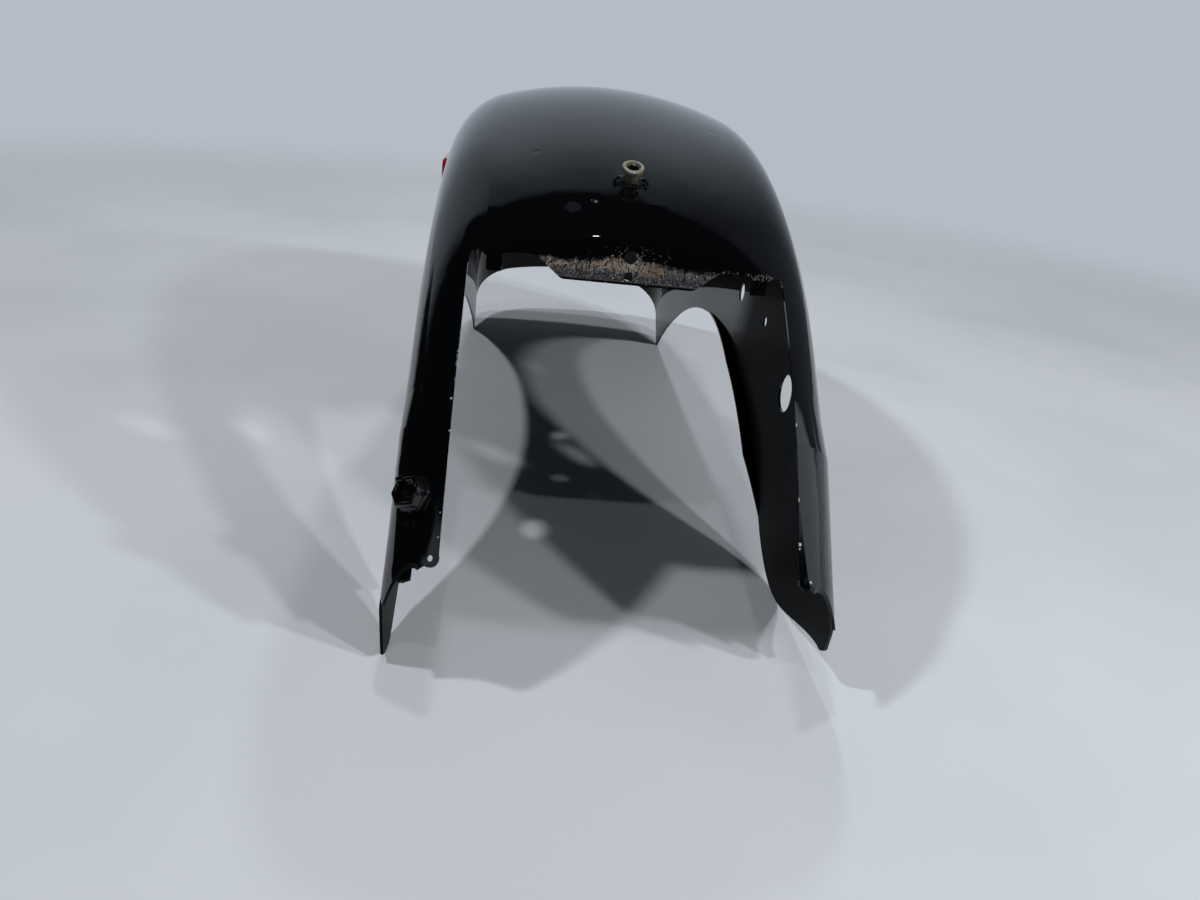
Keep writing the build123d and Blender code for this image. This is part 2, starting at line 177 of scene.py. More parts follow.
# Worn lip: limits across the sheet, along X from the middle, and up
LIP_Y = (-231.0, -230.0, -226.9, -225.8)
LIP_HALF = (84.5, 83.5)
TONGUE_X = -2.0
TONGUE_HALF = (57.0, 52.0)
HUMP_HALF = (30.0, 4.0)
BAND_TOP = 189.6
BAND_HUMP = 3.5
BAND_PATCHY = 5.0
BAND_CLUMPY = 6.0
BAND_TOP_FADE = (-1.5, 2.5)
BAND_FOOT = (180.3, 181.2)
TAN_PATCHY = 6.0
TAN_Z = (183.2, 188.0)
THIN_X = (14.0, 2.0)
GREY_X = (16.0, 30.0)
RUST_PATCHES = [(-11.5, 11.0, 4.0), (14.0, 9.0, 3.0)]
HOLE_AT = (1.1, -228.1, 193.0)
HOLE_RUST = (11.0, 7.0)
HOLE_RIM = (5.0, 3.7)
STRAY_Z = (203.0, 192.0)
TAB_X = (66.0, 68.0)
TAB_Z = (190.0, 186.0)
TAB_RUBBED_Z = (185.5, 188.5)
RIM_X = (50.0, 54.0)
RIM_Z = (188.2, 189.4, 190.6, 192.6)

# Marks elsewhere on the paint: places with their radii
WORN_DISC_AT = (-32.9, -206.8, 214.7)
WORN_DISC_R = 5.2
WORN_DISC_RAGGED = 1.6
SPECKS = [
    ((-20.2, -203.0, 218.2), 1.1),
    ((-22.6, -201.8, 218.6), 0.7),
]
EDGE_HALF = (88.3, 87.8)
# Pale spots on the legs: paint chips, and painted glints where light catches the edges
EDGE_CHIPS_AND_GLINTS = [
    ((87.5, -272.6, 165.0), 1.5),
    ((87.5, -277.4, 159.6), 1.5),
    ((87.5, -298.2, 131.7), 2.0),
    ((87.5, -307.8, 116.6), 1.6),
    ((87.5, -325.0, 102.2), 1.5),
    ((87.5, -344.9, 79.7), 1.6),
    ((-87.5, -348.1, 93.2), 1.5),
    ((-87.5, -351.1, 82.2), 1.4),
]
FACE_CHIPS_AND_GLINTS = [
    ((-88.7, -297.1, 130.6), 0.75),
    ((-88.0, -309.6, 118.8), 0.7),
    ((-88.7, -335.7, 87.4), 0.4),
    ((-88.6, -342.8, 77.9), 0.4),
    ((87.9, -338.3, 84.4), 0.95),
    ((87.9, -339.6, 82.6), 0.7),
    ((94.6, -346.9, 67.9), 1.0),
]
RIGHT_SIDE = (0.0, -1.0)
SCRAPED_Y = (-292.0, -288.0, -270.0, -266.0)
SCUFF_AT = (-103.0, -330.6, 80.2)
SCUFF_R = (6.5, 2.0)
DENTS = [
    ((62.6, -84.8, 253.3), 4.0),
    ((-54.5, -151.6, 235.8), 3.0),
]
DULL_Y = (-30.0, -90.0)
CUT_END_Y = (-330.0, -334.0)

# Colours of the paint and of what shows through it
PAINT_BLACK = (0.0014, 0.0016, 0.0021, 1.0)
BARE_GREY = (0.013, 0.016, 0.022, 1.0)
SAND_TAN = (0.25, 0.207, 0.168, 1.0)
SAND_GREY = (0.17, 0.178, 0.186, 1.0)
RUST_BROWN = (0.26, 0.165, 0.105, 1.0)
RUST_ORANGE = (0.26, 0.135, 0.075, 1.0)
PALE_GRAIN = (0.55, 0.50, 0.45, 1.0)
PIT_BLACK = (0.004, 0.004, 0.005, 1.0)
RIM_TAN = (0.30, 0.27, 0.23, 1.0)
TAB_GREY = (0.17, 0.17, 0.175, 1.0)
DISC_GREY = (0.009, 0.010, 0.014, 1.0)
SPECK_GREY = (0.11, 0.11, 0.11, 1.0)
SCUFF_GREY = (0.014, 0.014, 0.016, 1.0)
# Pale colour of the chips and of the painted glints
CHIP_AND_GLINT_PALE = (0.45, 0.44, 0.42, 1.0)
FILM_BLACK = (0.0015, 0.0015, 0.002, 1.0)
FILM_DUST = (0.011, 0.011, 0.012, 1.0)

# Colours of the nut's plating, the mouldings and the reflectors
ZINC_PALE = (0.82, 0.79, 0.70, 1.0)
ZINC_GREEN = (0.60, 0.57, 0.32, 1.0)
ZINC_ROSE = (0.58, 0.47, 0.38, 1.0)
ZINC_GRIME = (0.10, 0.085, 0.06, 1.0)
# Painted shade for the nut's collar side, neck and counterbore, and the painted black shade down
# its bore
ZINC_SHADE = (0.05, 0.044, 0.034, 1.0)
BORE_SHADE_BLACK = (0.006, 0.006, 0.005, 1.0)
RETAINER_BLACK = (0.004, 0.004, 0.0045, 1.0)
CLIP_BLACK = (0.002, 0.002, 0.0025, 1.0)
MOULDING_DUST = (0.055, 0.052, 0.050, 1.0)
MOULDING_RUBBED = (0.20, 0.19, 0.18, 1.0)
LENS_RED = (0.36, 0.006, 0.008, 1.0)
# Painted shade along the reflector's prism edges, and painted highlights on its facets
LENS_EDGE_SHADE = (0.16, 0.002, 0.004, 1.0)
LENS_LIT = (0.72, 0.035, 0.03, 1.0)
LENS_GRIME = (0.20, 0.09, 0.07, 1.0)
PRISM_PITCH = 2.6
PRISM_SLOPE = math.sqrt(0.75)
LENS_RIM = (3.2, 3.8)


class Value:
    """A socket's value, so that sums and products of values can be written as plain expressions."""

    def __init__(self, tree, socket):
        self.tree = tree
        self.socket = socket

    def maths(self, operation, a, b=0.0):
        return self.tree.add("ShaderNodeMath", {"operation": operation}, {0: a, 1: b})

    def __add__(self, other):
        return self.maths("ADD", self, other)

    def __radd__(self, other):
        return self.maths("ADD", other, self)

    def __sub__(self, other):
        return self.maths("SUBTRACT", self, other)

    def __rsub__(self, other):
        return self.maths("SUBTRACT", other, self)

    def __mul__(self, other):
        return self.maths("MULTIPLY", self, other)

    def __rmul__(self, other):
        return self.maths("MULTIPLY", other, self)

    def __truediv__(self, other):
        return self.maths("DIVIDE", self, other)

    def max(self, other):
        return self.maths("MAXIMUM", self, other)

    def min(self, other):
        return self.maths("MINIMUM", self, other)

    def abs(self):
        return self.maths("ABSOLUTE", self)

    def sign(self):
        return self.maths("SIGN", self)

    def fract(self):
        return self.maths("FRACT", self)

    def turn_from(self, other):
        """Angle, in degrees, of the direction whose sine part is self and cosine part is other."""
        return self.maths("ARCTAN2", self, other) * (180 / math.pi)

    def step(self, low, high):
        """0 below low, 1 above high, smooth between; reversed limits fall instead."""
        inputs = {"Value": self, "From Min": low, "From Max": high}
        settings = {"interpolation_type": "SMOOTHSTEP"}
        return self.tree.add("ShaderNodeMapRange", settings, inputs)

    def band(self, low, inner_low, inner_high, high):
        """0 outside low and high, 1 between the inner limits."""
        return self.step(low, inner_low) * self.step(high, inner_high)

    def lift(self, least):
        """The range 0 to 1 squeezed into least to 1."""
        return least + (1.0 - least) * self


class Finish:
    """One material, or the world, and the nodes in it."""

    def __init__(self, name, owner=None):
        self.owner = owner or bpy.data.materials.new(name)
        self.owner.use_nodes = True
        self.nodes = self.owner.node_tree.nodes
        self.links = self.owner.node_tree.links
        self.nodes.clear()

    def add(self, kind, settings=None, inputs=None, output=0):
        """Add a node: its settings first, then the values or links of its sockets."""
        node = self.nodes.new(kind)
        for key, value in (settings or {}).items():
            setattr(node, key, value)
        for key, value in (inputs or {}).items():
            if isinstance(value, Value):
                self.links.new(value.socket, node.inputs[key])
            else:
                node.inputs[key].default_value = value
        return Value(self, node.outputs[output])

    def parts(self, vector):
        """The X, Y and Z parts of a vector."""
        first = self.add("ShaderNodeSeparateXYZ", {}, {0: vector})
        outs = first.socket.node.outputs
        return [Value(self, outs[i]) for i in range(3)]

    def place(self):
        """The shaded point in the part's frame, in metres."""
        return self.add("ShaderNodeTexCoord", {}, {}, "Object")

    def vector(self, operation, a, b=None, output="Vector"):
        inputs = {0: a} if b is None else {0: a, 1: b}
        return self.add("ShaderNodeVectorMath", {"operation": operation}, inputs, output)

    def in_mm(self, point):
        return self.vector("MULTIPLY", point, (1 / MM, 1 / MM, 1 / MM))

    def away(self, point, centre):
        """Distance from a fixed centre."""
        return self.vector("DISTANCE", point, centre, "Value")

    def noise(self, point, scale, detail):
        inputs = {"Vector": point, "Scale": scale, "Detail": detail}
        return self.add("ShaderNodeTexNoise", {}, inputs, "Fac")

    def cells(self, point, scale):
        """Distance to the middle of the nearest of many cells, and that cell's random number."""
        inputs = {"Vector": point, "Scale": scale}
        near = self.add("ShaderNodeTexVoronoi", {}, inputs, "Distance")
        colour = Value(self, near.socket.node.outputs["Color"])
        return near, self.parts(colour)[0]

    def spots(self, point, places, ragged):
        """1 inside any of the given round places, with ragged edges, 0 outside."""
        whole = None
        for centre, radius in places:
            one = (self.away(point, centre) + ragged * radius).step(radius, 0.6 * radius)
            whole = one if whole is None else whole.max(one)
        return whole

    def mix(self, a, b, share):
        """Colour a where share is 0, b where it is 1."""
        return self.add("ShaderNodeMix", {"data_type": "RGBA"}, {0: share, 6: a, 7: b}, 2)

    def layers(self, colour, rows):
        """A colour with (colour, share) rows laid over it, in order."""
        for over, share in rows:
            colour = self.mix(colour, over, share)
        return colour

    def bump(self, height_mm):
        """A normal from a height in millimetres."""
        inputs = {"Strength": 1.0, "Distance": MM, "Height": height_mm}
        return self.add("ShaderNodeBump", {}, inputs)

    def surface(self, inputs):
        return self.add("ShaderNodeBsdfPrincipled", {}, inputs)

    def blend(self, first, second, share):
        """Shader first where share is 0, second where it is 1."""
        return self.add("ShaderNodeMixShader", {}, {0: share, 1: first, 2: second})

    def glow(self, colour):
        return self.add("ShaderNodeEmission", {}, {"Color": colour, "Strength": 1.0})

    def close(self, shader):
        is_world = isinstance(self.owner, bpy.types.World)
        out = self.nodes.new("ShaderNodeOutputWorld" if is_world else "ShaderNodeOutputMaterial")
        self.links.new(shader.socket, out.inputs["Surface"])
        return self.owner


class ShellPlace:
    """A point on the shell in millimetres, the way it faces, and the noises that break up wear."""

    def __init__(self, f):
        point = f.place()
        streak = f.vector("MULTIPLY", point, (1.0, 1.0, 0.45))
        along_leg = f.vector("MULTIPLY", point, (1.0, 0.22, 0.22))
        self.here = f.in_mm(point)
        self.x, self.y, self.z = f.parts(self.here)
        self.faces = f.parts(f.add("ShaderNodeNewGeometry", {}, {}, "Normal"))
        self.grain = f.noise(streak, 2700.0, 2.0)
        self.crumb = f.noise(streak, 1200.0, 3.0)
        self.clump = f.noise(point, 420.0, 3.0)
        self.ripple = f.noise(point, 300.0, 1.0)
        self.patch = f.noise(point, 120.0, 2.0)
        self.broad = f.noise(point, 16.0, 3.0)
        self.lines = f.noise(along_leg, 900.0, 2.0)
        self.near, self.chance = f.cells(point, 1150.0)
        self.ragged = self.clump * 2.0 - 1.0


def tongue_wear(f, at):
    """Shares of the worn tongue: tan grains above, bare grey below, black rim at the bottom."""
    lip = at.y.band(*LIP_Y) * at.x.abs().step(*LIP_HALF)
    off_middle = (at.x - TONGUE_X).abs()
    hump = off_middle.step(*HUMP_HALF)
    uneven = BAND_PATCHY * (at.patch - 0.5) + BAND_CLUMPY * (at.clump - 0.5)
    top = BAND_TOP + BAND_HUMP * hump + uneven
    worn = lip * off_middle.step(*TONGUE_HALF)
    worn = worn * (top - at.z).step(*BAND_TOP_FADE) * at.z.step(*BAND_FOOT)

    tan = (at.z + TAN_PATCHY * (at.patch - 0.5)).step(*TAN_Z)
    grit = (at.grain * 0.45 + at.crumb * 0.55).step(0.42, 0.53)
    dots = at.near.step(0.46, 0.24) * at.chance.step(0.74, 0.82) * tan.lift(0.3)
    fine_dots = 0.42 * (1.0 - tan) * at.grain.step(0.55, 0.62)
    lone_dots = at.near.step(0.36, 0.20) * at.chance.step(0.88, 0.92)
    rusted = None
    for middle, outer, inner in RUST_PATCHES:
        one = (at.x - middle).abs().step(outer, inner)
        rusted = one if rusted is None else rusted.max(one)
    from_hole = f.away(at.here, HOLE_AT)
    return SimpleNamespace(
        lip=lip,
        worn=worn,
        grey_film=worn * (1.0 - 0.75 * tan),
        tan_grains=worn * tan * at.x.step(*THIN_X).lift(0.5) * grit,
        pale_grains=worn * dots.max(fine_dots),
        black_grains=worn * at.crumb.step(0.46, 0.40),
        rust=worn * tan * rusted * at.clump.step(0.42, 0.58),
        rust_dots=lip * from_hole.step(*HOLE_RUST) * at.clump.step(0.60, 0.66),
        hole_rim=lip * from_hole.step(*HOLE_RIM) * at.crumb.step(0.40, 0.55),
        stray=lip * hump * at.z.step(*STRAY_Z) * lone_dots,
    )


def tab_wear(at, lip):
    """Share of the grains on the tab at the left end of the lip and on the rim beside it."""
    dots = at.near.step(0.40, 0.18) * at.chance.step(0.40, 0.85)
    tab = lip * at.x.step(*TAB_X) * at.z.step(*TAB_Z) * at.z.step(*TAB_RUBBED_Z).lift(0.1) * dots
    rim = lip * at.x.step(*RIM_X) * at.z.band(*RIM_Z) * at.crumb.step(0.50, 0.58)
    return tab.max(0.8 * rim)


def chips_and_painted_glints(f, at, edge):
    """Share of the pale spots on the inner edges and front faces of the legs: paint chips, and
    painted glints where light catches the edges.
    """
    scraped = edge * at.x.step(*RIGHT_SIDE) * at.y.band(*SCRAPED_Y) * at.clump.step(0.50, 0.60)
    on_edges = edge * f.spots(at.here, EDGE_CHIPS_AND_GLINTS, at.ragged)
    return on_edges.max(0.6 * scraped).max(f.spots(at.here, FACE_CHIPS_AND_GLINTS, at.ragged))


def inside_film(f, at, inside):
    """Dull, dusty film on the inside of the shell, with painted shade on the faces that look down.
    """
    dust = inside * at.broad.lift(0.35) * at.patch.lift(0.5)
    # Painted shade: faces that look down keep only a fifth of the dust and stay darker
    dust = dust * at.faces[2].step(-0.6, -0.2).lift(0.2)
    colour = f.mix(FILM_BLACK, FILM_DUST, dust)
    return f.surface({"Base Color": colour, "Roughness": 0.5, "Specular IOR Level": 0.07})


def black_paint():
    """Gloss black paint, worn on the lip, chipped on the edges with painted glints among the chips,
    and dull inside with painted shade on faces that look down.
    """
    f = Finish("gloss_black_paint")
    at = ShellPlace(f)
    tongue = tongue_wear(f, at)
    tab = tab_wear(at, tongue.lip)
    edge = at.x.abs().step(*EDGE_HALF)
    chips_and_glints = chips_and_painted_glints(f, at, edge)
    from_disc = f.away(at.here, WORN_DISC_AT) + at.ragged * WORN_DISC_RAGGED
    disc = from_disc.step(WORN_DISC_R, 0.75 * WORN_DISC_R) * at.crumb.step(0.36, 0.60).lift(0.3)
    specks = f.spots(at.here, SPECKS, at.ragged * 1.6)
    scuff = f.away(at.here, SCUFF_AT).step(*SCUFF_R) * at.lines.step(0.50, 0.62)

    colour = f.layers(PAINT_BLACK, [
        (BARE_GREY, tongue.grey_film),
        (f.mix(SAND_TAN, SAND_GREY, at.x.step(*GREY_X)), tongue.tan_grains),
        (RUST_BROWN, 0.6 * tongue.rust),
        (RUST_ORANGE, 0.3 * tongue.rust_dots),
        (PALE_GRAIN, tongue.pale_grains.max(tongue.stray)),
        (PIT_BLACK, 0.9 * tongue.black_grains),
        (RIM_TAN, 0.8 * tongue.hole_rim),
        (TAB_GREY, tab),
        (DISC_GREY, disc),
        (SPECK_GREY, specks),
        (SCUFF_GREY, scuff),
        (CHIP_AND_GLINT_PALE, chips_and_glints),
    ])
    grains = tongue.tan_grains.max(tongue.pale_grains).max(tab).max(chips_and_glints).max(specks)
    bare = tongue.worn.max(tongue.stray).max(disc)
    rough = 0.020 + 0.025 * at.broad + 0.20 * bare + 0.38 * grains
    height = 0.0025 * at.ripple + 0.05 * tongue.worn * at.crumb - 0.05 * chips_and_glints
    height = height - 0.12 * f.spots(at.here, DENTS, at.ragged * 0.3)
    inputs = {"Base Color": colour, "Roughness": rough, "IOR": 1.5, "Normal": f.bump(height)}
    gloss = f.surface(inputs)

    # The film is thicker towards the legs, and the cut ends of the right leg are unpolished
    nx, ny, nz = at.faces
    inside = (0.0 - nx * at.x.sign()).step(0.15, 0.5).max(nz.step(-0.1, -0.4))
    dull = inside * (1.0 - edge) * (0.42 + 0.55 * at.y.step(*DULL_Y))
    cut_end = at.y.step(*CUT_END_Y) * at.x.step(*RIGHT_SIDE)
    cut_end = cut_end * ny.step(-0.60, -0.85) * nz.abs().step(0.30, 0.12)
    return f.close(f.blend(gloss, inside_film(f, at, inside), dull.max(cut_end)))


def yellow_zinc():
    """Yellow plating that runs to green and rose, with painted shade on the collar's side, under
    the collar and in the counterbore, and painted black shade down the bore.
    """
    f = Finish("yellow_zinc")
    point = f.place()
    fine = f.noise(point, 1400.0, 3.0)
    from_foot = f.vector("SUBTRACT", f.in_mm(point), NUT_FOOT)
    height = f.vector("DOT_PRODUCT", from_foot, NUT_AXIS, "Value")
    radius = f.vector("LENGTH", f.vector("CROSS_PRODUCT", from_foot, NUT_AXIS), None, "Value")
    below_top = NUT_TOP - height
    bore = radius.step(THREAD_R + 0.7, THREAD_R) * below_top.step(0.8, 1.5)
    counterbore = radius.step(BORE_R + 0.1, BORE_R - 0.1) * below_top.step(0.1, 0.5)
    side = radius.step(NUT_R - 0.6, NUT_R - 0.2) * below_top.step(0.25, 0.8)
    neck = height.step(NUT_COLLAR_LOW + 0.1, NUT_COLLAR_LOW - 0.2)
    colour = f.layers(ZINC_PALE, [
        (ZINC_GREEN, f.noise(point, 210.0, 2.0).step(0.44, 0.60)),
        (ZINC_ROSE, f.noise(point, 330.0, 1.0).step(0.57, 0.70)),
        (ZINC_GRIME, 0.8 * fine.step(0.56, 0.68)),
        # Painted shade on the collar's side, under the collar and in the counterbore, and painted
        # black shade down the bore
        (ZINC_SHADE, (0.6 * counterbore).max(0.74 * neck).max(0.68 * side)),
        (BORE_SHADE_BLACK, bore),
    ])
    inputs = {"Base Color": colour, "Metallic": 0.72, "Roughness": 0.15 + 0.2 * fine}
    inputs["Normal"] = f.bump(0.02 * fine)
    return f.close(f.surface(inputs))


def black_moulding(name, base, least_rough, dust):
    """Black moulded plastic with fine texture, a share of dust in it and rubbed lighter streaks."""
    f = Finish(name)
    point = f.place()
    fine = f.noise(point, 1100.0, 3.0)
    broad = f.noise(point, 130.0, 2.0)
    colour = f.layers(base, [
        (MOULDING_DUST, 0.5 * dust * broad.step(0.5, 0.75)),
        (MOULDING_RUBBED, 0.5 * dust * fine.step(0.68, 0.76)),
    ])
    inputs = {"Base Color": colour, "Roughness": least_rough + 0.18 * fine}
    inputs["Normal"] = f.bump(0.012 * fine)
    return f.close(f.surface(inputs))


def red_lens(node):
    """Red reflector: a clear rim round rows of small three-sided prisms, with painted shade along
    the prism edges and painted highlights on some facets.
    """
    low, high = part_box(node)
    middle = [(a + b) / 2 / MM for a, b in zip(low, high)]
    half = [(b - a) / 2 / MM for a, b in zip(low, high)]
    f = Finish("red_lens_" + node)
    point = f.place()
    y, z = f.parts(f.in_mm(point))[1:]
    off_y, off_z = y - middle[1], z - middle[2]
    along, across = off_y / PRISM_PITCH, off_z / PRISM_PITCH
    first = (along.fract() - 0.5).abs()
    second = ((along * 0.5 + across * PRISM_SLOPE).fract() - 0.5).abs()
    third = ((across * PRISM_SLOPE - along * 0.5).fract() - 0.5).abs()
    prism = first.max(second).max(third)
    field = off_y.abs().step(half[1] - LENS_RIM[0], half[1] - LENS_RIM[1])
    field = field * off_z.abs().step(half[2] - LENS_RIM[0], half[2] - LENS_RIM[1])
    lit = field * first.step(0.12, 0.42) * second.step(0.40, 0.10)
    # Painted shade along the prism edges and painted highlights on the facets, with grime over them
    colour = f.layers(LENS_RED, [
        (LENS_EDGE_SHADE, field * prism.step(0.25, 0.5)),
        (LENS_LIT, 0.8 * lit),
        (LENS_GRIME, 0.25 * f.noise(point, 240.0, 3.0).step(0.62, 0.75)),
    ])
    inputs = {"Base Color": colour, "Roughness": 0.10 + 0.12 * f.noise(point, 180.0, 2.0)}
    inputs.update({"Coat Weight": 0.8, "Coat Roughness": 0.05})
    inputs["Normal"] = f.bump(0.25 * field * prism)
    return f.close(f.surface(inputs))


def new_mesh(name, points, faces, material):
    """A smooth mesh object in the scene."""
    mesh = bpy.data.meshes.new(name)
    mesh.from_pydata(points, [], faces)
    mesh.validate()
    mesh.polygons.foreach_set("use_smooth", [True] * len(mesh.polygons))
    mesh.materials.append(material)
    thing = bpy.data.objects.new(name, mesh)
    bpy.context.scene.collection.objects.link(thing)
    return thing


class Solid:
    """Points and faces gathered in a local frame: u and v across, w along the axis."""

    def __init__(self, foot, axis, across):
        self.foot = foot
        self.axis = axis.normalized()
        self.u = (across - self.axis * across.dot(self.axis)).normalized()
        self.v = self.axis.cross(self.u)
        self.points = []
        self.faces = []

    def put(self, u, v, w):
        self.points.append((self.foot + self.u * u + self.v * v + self.axis * w) * MM)
        return len(self.points) - 1

    def rings(self, rings, closed=False):
        """Skin rings of (u, v, w); closed joins the last to the first, open caps both ends."""
        numbers = [[self.put(*p) for p in ring] for ring in rings]
        count = len(rings[0])
        pairs = list(zip(numbers, numbers[1:]))
        if closed:
            pairs.append((numbers[-1], numbers[0]))
        for lower, upper in pairs:
            for i in range(count):
                j = (i + 1) % count
                self.faces.append((lower[i], lower[j], upper[j], upper[i]))
        if not closed:
            self.faces.append(tuple(reversed(numbers[0])))
            self.faces.append(tuple(numbers[-1]))

    def stand_for(self, node, name, material, sharp):
        """Make the piece that replaces a CAD node; edges over sharp degrees stay crisp."""
        thing = new_mesh(name, self.points, self.faces, material)
        thing.data.set_sharp_from_angle(angle=math.radians(sharp))
        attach(thing, "root")
        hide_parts(node)
        dress(node, material)


def circle(radius, w, count):
    """A level ring; radius may be a function of the turn, from 0 to 1."""
    out = []
    for i in range(count):
        turn = i / count
        r = radius(turn) if callable(radius) else radius
        angle = 2 * math.pi * turn
        out.append((r * math.cos(angle), r * math.sin(angle), w))
    return out


def rounded(half_u, half_v, power, w, count, at=(0.0, 0.0)):
    """A level ring with flat sides and rounded corners, squarer with a higher power."""
    out = []
    for i in range(count):
        angle = 2 * math.pi * i / count
        c, s = math.cos(angle), math.sin(angle)
        r = ((abs(c) / half_u) ** power + (abs(s) / half_v) ** power) ** (-1 / power)
        out.append((at[0] + r * c, at[1] + r * s, w))
    return out


def bar(half, at, rows, power, count):
    """Rings of a bar with rounded corners, from (inset, height) rows."""
    return [rounded(half[0] - i, half[1] - i, power, w, count, at) for i, w in rows]


def seat_nut():
    solid = Solid(NUT_FOOT, NUT_AXIS, Vector((1, 0, 0)))
    flange = [
        (THREAD_CLEAR_R, NUT_FLANGE_LOW),
        (NUT_FLANGE_R - 0.4, NUT_FLANGE_LOW),
        (NUT_FLANGE_R, NUT_FLANGE_LOW + 0.4),
        (NUT_FLANGE_R, NUT_FLANGE_TOP),
    ]
    neck = [
        (NUT_NECK_R + 1.0, NUT_FLANGE_TOP + 0.1),
        (NUT_NECK_R, NUT_FLANGE_TOP + 0.8),
        (NUT_NECK_R, NUT_COLLAR_LOW - 0.5),
        (NUT_NECK_R + 0.25, NUT_COLLAR_LOW - 0.15),
    ]
    collar = [
        (NUT_R - 0.5, NUT_COLLAR_LOW),
        (NUT_R - 0.12, NUT_COLLAR_LOW + 0.15),
        (NUT_R, NUT_COLLAR_LOW + 0.45),
        (NUT_R, NUT_TOP - 0.7),
        (NUT_R - 0.12, NUT_TOP - 0.3),
        (NUT_R - 0.45, NUT_TOP - 0.06),
        (NUT_R - 0.8, NUT_TOP),
    ]
    counterbore = [
        (BORE_R + 0.45, NUT_TOP),
        (BORE_R + 0.15, NUT_TOP - 0.12),
        (BORE_R, NUT_TOP - 0.5),
        (BORE_R - 0.1, NUT_TOP - BORE_DEEP),
        (THREAD_R + 0.1, NUT_TOP - BORE_DEEP - 0.5),
    ]
    rings = [circle(r, w, NUT_POINTS) for r, w in flange + neck + collar + counterbore]
    thread_long = THREAD_TOP - THREAD_LOW
    rows = int(thread_long / THREAD_PITCH * THREAD_ROWS_A_TURN)
    for k in range(rows + 1):
        w = THREAD_TOP - thread_long * k / rows

        def groove(turn, w=w):
            ridge = abs(((w / THREAD_PITCH - turn) % 1.0) - 0.5) * 2
            return THREAD_R - THREAD_DEEP * min(1.0, 1.25 * ridge)

        rings.append(circle(groove, w, NUT_POINTS))
    rings.append(circle(THREAD_CLEAR_R, THREAD_LOW - 0.4, NUT_POINTS))
    solid.rings(rings, closed=True)
    solid.stand_for("seat_nut", "seat_nut_turned", yellow_zinc(), 35.0)


def draped(ring):
    """Lower a ring's points by the fall of the crown round the nut."""
    fall_u = 2 * CROWN_ACROSS_R
    fall_v = 2 * CROWN_ALONG_R
    return [(u, v, w - u * u / fall_u - v * v / fall_v) for u, v, w in ring]


def nut_retainer():
    solid = Solid(NUT_FOOT, NUT_AXIS, Vector((1, 0, 0)))
    half = (PLATE_HALF_LONG, PLATE_HALF_WIDE)
    ring = [
        (PLATE_RING_R, PLATE_THICK + 0.05),
        (PLATE_RING_R - 0.1, PLATE_RING_TOP - 0.3),
        (PLATE_RING_R - 0.4, PLATE_RING_TOP),
        (PLATE_HOLE_R + 0.4, PLATE_RING_TOP),
        (PLATE_HOLE_R, PLATE_RING_TOP - 0.4),
    ]
    rings = [circle(PLATE_HOLE_R, PLATE_BACK, PLATE_POINTS)]
    rings += bar(half, (0.0, 0.0), PLATE_EDGE, PLATE_CORNER, PLATE_POINTS)
    rings += [circle(r, w, PLATE_POINTS) for r, w in ring]
    solid.rings([draped(r) for r in rings], closed=True)
    # Upturned wings at both ends, and two ribs from the ring towards each wing
    for side in (-1, 1):
        wing = bar(WING_HALF, (side * WING_AT, 0.0), WING, 6.0, 40)
        solid.rings([draped(r) for r in wing])
        for row in (-1, 1):
            rib = bar(RIB_HALF, (side * RIB_AT[0], row * RIB_AT[1]), RIB, 6.0, 24)
            solid.rings([draped(r) for r in rib])
    finish = black_moulding("retainer_moulding", RETAINER_BLACK, 0.14, 0.35)
    solid.stand_for("seat_nut_retainer", "retainer_moulded", finish, 35.0)


def six_sided(inset, w):
    """The clip's six-sided outline, drawn in by inset, with each side cut in three."""
    a, b = CLIP_HALF_LONG - 1.2 * inset, CLIP_HALF_TALL - inset
    flat = CLIP_HALF_LONG * CLIP_FLAT - 0.5 * inset
    corners = [(a, 0), (flat, b), (-flat, b), (-a, 0), (-flat, -b), (flat, -b)]
    out = []
    for p, q in zip(corners, corners[1:] + corners[:1]):
        for t in CLIP_CORNERS:
            out.append((p[0] + (q[0] - p[0]) * t, p[1] + (q[1] - p[1]) * t, w))
    return out


def harness_clip():
    solid = Solid(CLIP_FOOT, CLIP_AXIS, CLIP_LONG)
    # Six-sided head: stepped foot, rounded rim, and a hollow with sloping walls
    solid.rings([six_sided(i, w) for i, w in CLIP_HEAD])
    # Latch bar in the hollow, block on the upper rim and ridges at the inner end
    solid.rings(bar(LATCH_HALF, LATCH_AT, LATCH, 5.0, 28))
    solid.rings(bar(BLOCK_HALF, BLOCK_AT, BLOCK, 6.0, 32))
    for at, half_v in RIDGE_PLACES:
        solid.rings(bar((RIDGE_HALF, half_v), at, RIDGE, 6.0, 28))
    solid.rings([circle(r, w, STEM_POINTS) for r, w in STEM])
    finish = black_moulding("clip_moulding", CLIP_BLACK, 0.05, 0.2)
    solid.stand_for("harness_clip", "clip_moulded", finish, 30.0)


def floor():
    """A pale matt floor that fades into the room."""
    f = Finish("pale_floor")
    point = f.place()
    colour = f.mix(FLOOR_COLOUR, FLOOR_SCUFFED, f.noise(point, 3.0, 4.0).step(0.4, 0.7))
    inputs = {"Base Color": colour, "Roughness": 0.62, "Specular IOR Level": 0.25}
    inputs["Normal"] = f.bump(0.05 * f.noise(point, 420.0, 2.0))
    far = f.away(point, (0.0, 0.0, 0.0)).step(*FLOOR_FADE)
    material = f.close(f.blend(f.surface(inputs), f.glow(ROOM_COLOUR), far))
    h = FLOOR_HALF
    corners = [(-h, -h, 0), (h, -h, 0), (h, h, 0), (-h, h, 0)]
    new_mesh("floor", corners, [(0, 1, 2, 3)], material)


